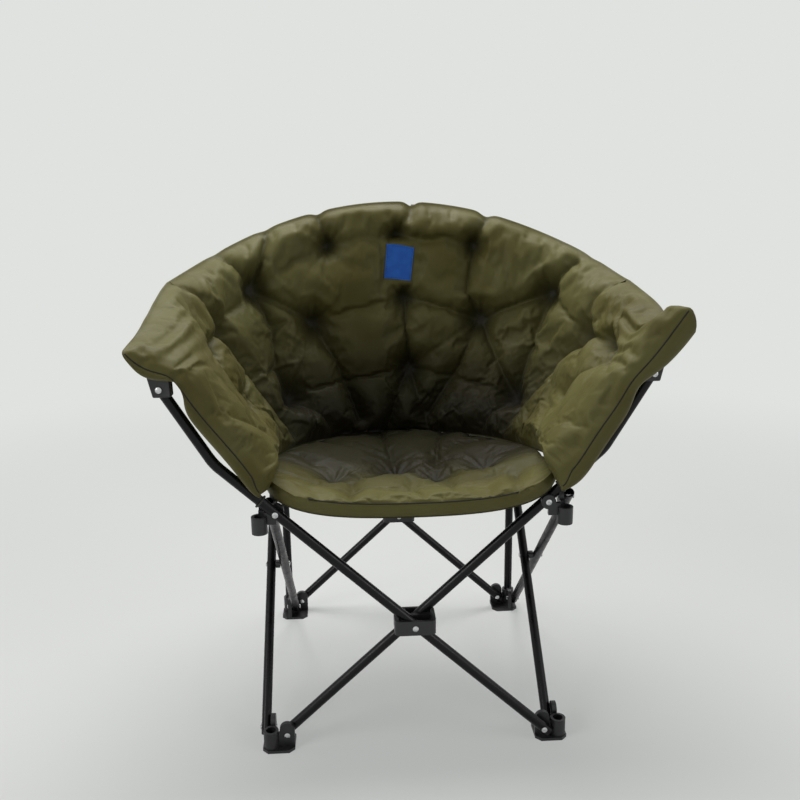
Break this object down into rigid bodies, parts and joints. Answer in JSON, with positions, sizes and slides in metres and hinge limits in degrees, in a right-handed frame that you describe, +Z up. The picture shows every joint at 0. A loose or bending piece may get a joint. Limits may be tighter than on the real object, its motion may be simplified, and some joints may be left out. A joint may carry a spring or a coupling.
{
  "type": "folding saucer chair",
  "caption": "Folding saucer chair: a scissor frame of steel tube on four feet that carries a quilted bucket seat and folds flat to its middle.",
  "frame": {"origin": "on the floor, at the middle of the chair's box in X and Y", "axes": "+X to the sitter's left as the chair faces the viewer, +Y from the open front to the back, +Z up"},
  "size_m": [0.8, 0.541, 0.8493],
  "materials": {
    "frame_tube": "semi-gloss black powder coat",
    "moulding": "matte black moulded nylon",
    "rivet_steel": "plated steel",
    "quilt": "smooth olive polyester, tufted",
    "backing_cloth": "woven dark olive polyester",
    "tie_cord": "braided cord",
    "label_cloth": "satin tag cloth, bare"
  },
  "bodies": {
    "front_left_foot": {"front_left_foot": "moulding", "front_left_foot_rivets": "rivet_steel"},
    "front_left_hub": {"front_left_hub": "moulding", "front_left_hub_rivets": "rivet_steel"},
    "front_right_foot": {"front_right_foot": "moulding", "front_right_foot_rivets": "rivet_steel"},
    "front_right_hub": {"front_right_hub": "moulding", "front_right_hub_rivets": "rivet_steel"},
    "rear_right_foot": {"rear_right_foot": "moulding", "rear_right_foot_rivets": "rivet_steel", "right_upright": "frame_tube", "right_top_bracket": "moulding", "right_hoop_pin": "rivet_steel"},
    "rear_right_hub": {"rear_right_hub": "moulding", "rear_right_hub_rivets": "rivet_steel"},
    "rear_left_foot": {"rear_left_foot": "moulding", "rear_left_foot_rivets": "rivet_steel", "left_upright": "frame_tube", "left_top_bracket": "moulding", "left_hoop_pin": "rivet_steel"},
    "rear_left_hub": {"rear_left_hub": "moulding", "rear_left_hub_rivets": "rivet_steel"},
    "left_arm_tube": {"left_arm_tube": "frame_tube", "left_arm_bracket": "moulding", "left_arm_rivet": "rivet_steel", "left_cord_loop": "tie_cord"},
    "right_arm_tube": {"right_arm_tube": "frame_tube", "right_arm_bracket": "moulding", "right_arm_rivet": "rivet_steel", "right_cord_loop": "tie_cord"},
    "right_outer_tube": {"right_outer_tube": "frame_tube"},
    "right_inner_tube": {"right_inner_tube": "frame_tube", "right_cross_bolt": "rivet_steel", "right_cross_spacer": "moulding"},
    "rear_outer_tube": {"rear_outer_tube": "frame_tube"},
    "rear_inner_tube": {"rear_inner_tube": "frame_tube"},
    "left_outer_tube": {"left_outer_tube": "frame_tube"},
    "left_inner_tube": {"left_inner_tube": "frame_tube", "left_cross_bolt": "rivet_steel", "left_cross_spacer": "moulding"},
    "front_cross_block": {"front_cross_block": "moulding", "front_cross_rivet": "rivet_steel"},
    "rear_cross_block": {"rear_cross_block": "moulding", "rear_cross_rivet": "rivet_steel"},
    "left_hoop": {"left_hoop": "frame_tube", "left_hoop_sleeve": "backing_cloth"},
    "right_hoop": {"right_hoop": "frame_tube", "right_hoop_sleeve": "backing_cloth"},
    "hoop_centre_block": {"hoop_centre_block": "moulding", "centre_hoop_pins": "rivet_steel", "back_pad": "quilt", "back_sling": "backing_cloth", "label": "label_cloth"},
    "seat": {"seat_pad": "quilt", "seat_sling": "backing_cloth"},
    "left_wing": {"left_wing_pad": "quilt"},
    "right_wing": {"right_wing_pad": "quilt"}
  },
  "joints": [
    {"name": "fold", "type": "hinge", "parent": "rear_left_foot", "child": "left_inner_tube", "pos_m": [-0.221, 0.21827, 0.024], "axis": [-1, 0, 0], "range_deg": [0, 42], "deforming": ["seat_pad", "back_pad", "left_wing_pad", "right_wing_pad", "seat_sling", "back_sling", "label"]},
    {"name": "left_crossing", "type": "hinge", "parent": "left_inner_tube", "child": "left_outer_tube", "pos_m": [-0.233, 0.00928, 0.218], "axis": [-1, 0, 0], "range_deg": [-84, 0]},
    {"name": "left_inner_tube_top", "type": "hinge", "parent": "left_inner_tube", "child": "front_left_hub", "pos_m": [-0.221, -0.19973, 0.412], "axis": [-1, 0, 0], "range_deg": [-42, 0]},
    {"name": "left_outer_tube_foot", "type": "hinge", "parent": "left_outer_tube", "child": "front_left_foot", "pos_m": [-0.245, -0.19973, 0.024], "axis": [-1, 0, 0], "range_deg": [0, 42]},
    {"name": "left_outer_tube_top", "type": "hinge", "parent": "left_outer_tube", "child": "rear_left_hub", "pos_m": [-0.245, 0.21827, 0.412], "axis": [-1, 0, 0], "range_deg": [0, 42]},
    {"name": "rear_outer_tube_foot", "type": "hinge", "parent": "rear_left_foot", "child": "rear_outer_tube", "pos_m": [-0.209, 0.25427, 0.024], "axis": [0, 1, 0], "range_deg": [-42, 0]},
    {"name": "rear_block_on_outer_tube", "type": "hinge", "parent": "rear_outer_tube", "child": "rear_cross_block", "pos_m": [0, 0.24227, 0.218], "axis": [0, 1, 0], "range_deg": [0, 42]},
    {"name": "rear_crossing", "type": "hinge", "parent": "rear_outer_tube", "child": "rear_inner_tube", "pos_m": [0, 0.24227, 0.218], "axis": [0, 1, 0], "range_deg": [0, 84]},
    {"name": "rear_outer_tube_top", "type": "hinge", "parent": "rear_outer_tube", "child": "rear_right_hub", "pos_m": [0.209, 0.25427, 0.412], "axis": [0, 1, 0], "range_deg": [0, 42]},
    {"name": "rear_inner_tube_foot", "type": "hinge", "parent": "rear_inner_tube", "child": "rear_right_foot", "pos_m": [0.209, 0.23028, 0.024], "axis": [0, 1, 0], "range_deg": [-42, 0]},
    {"name": "right_arm_tube_foot", "type": "hinge", "parent": "front_left_foot", "child": "right_arm_tube", "pos_m": [-0.209, -0.21172, 0.024], "axis": [0, -1, 0], "range_deg": [0, 42]},
    {"name": "front_block_on_right_arm", "type": "hinge", "parent": "right_arm_tube", "child": "front_cross_block", "pos_m": [0, -0.22373, 0.218], "axis": [0, -1, 0], "range_deg": [-42, 0]},
    {"name": "front_crossing", "type": "hinge", "parent": "right_arm_tube", "child": "left_arm_tube", "pos_m": [0, -0.22373, 0.218], "axis": [0, -1, 0], "range_deg": [-84, 0]},
    {"name": "right_arm_tube_hub", "type": "hinge", "parent": "right_arm_tube", "child": "front_right_hub", "pos_m": [0.209, -0.21172, 0.412], "axis": [0, -1, 0], "range_deg": [-42, 0]},
    {"name": "left_arm_tube_foot", "type": "hinge", "parent": "left_arm_tube", "child": "front_right_foot", "pos_m": [0.209, -0.23572, 0.024], "axis": [0, -1, 0], "range_deg": [0, 42]},
    {"name": "right_inner_tube_foot", "type": "hinge", "parent": "front_right_foot", "child": "right_inner_tube", "pos_m": [0.221, -0.19973, 0.024], "axis": [1, 0, 0], "range_deg": [0, 42]},
    {"name": "right_crossing", "type": "hinge", "parent": "right_inner_tube", "child": "right_outer_tube", "pos_m": [0.233, 0.00928, 0.218], "axis": [1, 0, 0], "range_deg": [-84, 0]},
    {"name": "left_hoop_foot", "type": "hinge", "parent": "rear_left_foot", "child": "left_hoop", "pos_m": [-0.221, 0.24427, 0.646], "axis": [0, -1, 0], "range_deg": [0, 42]},
    {"name": "centre_block_on_left_hoop", "type": "hinge", "parent": "left_hoop", "child": "hoop_centre_block", "pos_m": [-0.012, 0.24427, 0.84], "axis": [0, -1, 0], "range_deg": [-42, 0]},
    {"name": "centre_block_on_right_hoop", "type": "hinge", "parent": "hoop_centre_block", "child": "right_hoop", "pos_m": [0.012, 0.24427, 0.84], "axis": [0, -1, 0], "range_deg": [-42, 0]},
    {"name": "seat_tip", "type": "hinge", "parent": "front_left_hub", "child": "seat", "pos_m": [-0.209, -0.17472, 0.413], "axis": [1, 0, 0], "range_deg": [0, 84]},
    {"name": "left_wing_lean", "type": "hinge", "parent": "left_arm_tube", "child": "left_wing", "pos_m": [-0.209, -0.23572, 0.412], "axis": [0, -1, 0], "range_deg": [0, 16.8]},
    {"name": "right_wing_lean", "type": "hinge", "parent": "right_arm_tube", "child": "right_wing", "pos_m": [0.209, -0.21172, 0.412], "axis": [0, -1, 0], "range_deg": [-16.8, 0]}
  ],
  "couplings": [
    {"joint": "left_crossing", "follows": "fold", "ratio": -2},
    {"joint": "left_inner_tube_top", "follows": "fold", "ratio": -1},
    {"joint": "left_outer_tube_foot", "follows": "fold", "ratio": 1},
    {"joint": "left_outer_tube_top", "follows": "fold", "ratio": 1},
    {"joint": "rear_outer_tube_foot", "follows": "fold", "ratio": -1},
    {"joint": "rear_block_on_outer_tube", "follows": "fold", "ratio": 1},
    {"joint": "rear_crossing", "follows": "fold", "ratio": 2},
    {"joint": "rear_outer_tube_top", "follows": "fold", "ratio": 1},
    {"joint": "rear_inner_tube_foot", "follows": "fold", "ratio": -1},
    {"joint": "right_arm_tube_foot", "follows": "fold", "ratio": 1},
    {"joint": "front_block_on_right_arm", "follows": "fold", "ratio": -1},
    {"joint": "front_crossing", "follows": "fold", "ratio": -2},
    {"joint": "right_arm_tube_hub", "follows": "fold", "ratio": -1},
    {"joint": "left_arm_tube_foot", "follows": "fold", "ratio": 1},
    {"joint": "right_inner_tube_foot", "follows": "fold", "ratio": 1},
    {"joint": "right_crossing", "follows": "fold", "ratio": -2},
    {"joint": "left_hoop_foot", "follows": "fold", "ratio": 1},
    {"joint": "centre_block_on_left_hoop", "follows": "fold", "ratio": -1},
    {"joint": "centre_block_on_right_hoop", "follows": "fold", "ratio": -1},
    {"joint": "seat_tip", "follows": "fold", "ratio": 2},
    {"joint": "left_wing_lean", "follows": "fold", "ratio": 0.4},
    {"joint": "right_wing_lean", "follows": "fold", "ratio": -0.4}
  ]
}
